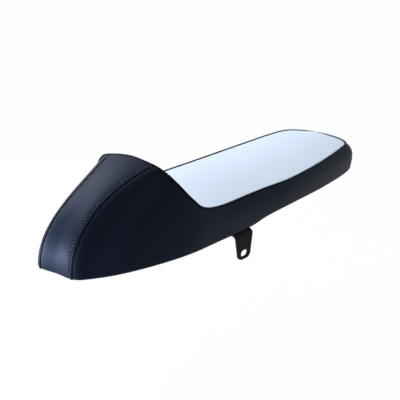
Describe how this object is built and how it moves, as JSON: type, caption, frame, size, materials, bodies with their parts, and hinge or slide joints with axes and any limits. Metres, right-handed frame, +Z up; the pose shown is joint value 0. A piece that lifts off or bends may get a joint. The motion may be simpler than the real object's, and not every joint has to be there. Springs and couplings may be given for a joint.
{
  "type": "moped sport seat",
  "caption": "Padded moped seat with a raised tail hump, pale panel piped into a black sewn cover, moulded base and a U-shaped steel strap with slotted ears.",
  "frame": {"origin": "midway between the centres of the two ear slots, on the seat's plane of symmetry", "axes": "+X points forward along the seat, +Y to the rider's left along the line through both ear slots, +Z up"},
  "size_m": [0.6538, 0.1982, 0.1787],
  "materials": {
    "pale_vinyl": "smooth satin",
    "black_vinyl": "satin grain",
    "black_piping": "satin",
    "foam": "matte",
    "moulded_plastic": "fine texture",
    "painted_steel": "satin black",
    "plated_steel": "zinc plated",
    "buffer_rubber": "matte"
  },
  "bodies": {
    "root": {"base_pan": "moulded_plastic", "foam_core": "foam", "seat_panel": "pale_vinyl", "side_panel_right": "black_vinyl", "side_panel_left": "black_vinyl", "rear_strip": "black_vinyl", "panel_piping": "black_piping", "tail_piping_right": "black_piping", "tail_piping_left": "black_piping", "hem_staples": "plated_steel", "mount_strap": "painted_steel", "strap_bolts": "plated_steel", "strap_washers": "plated_steel", "strap_nuts": "plated_steel", "front_tongue": "painted_steel", "tongue_rivets": "plated_steel", "rear_buffers": "buffer_rubber", "front_buffers": "buffer_rubber"}
  },
  "joints": []
}
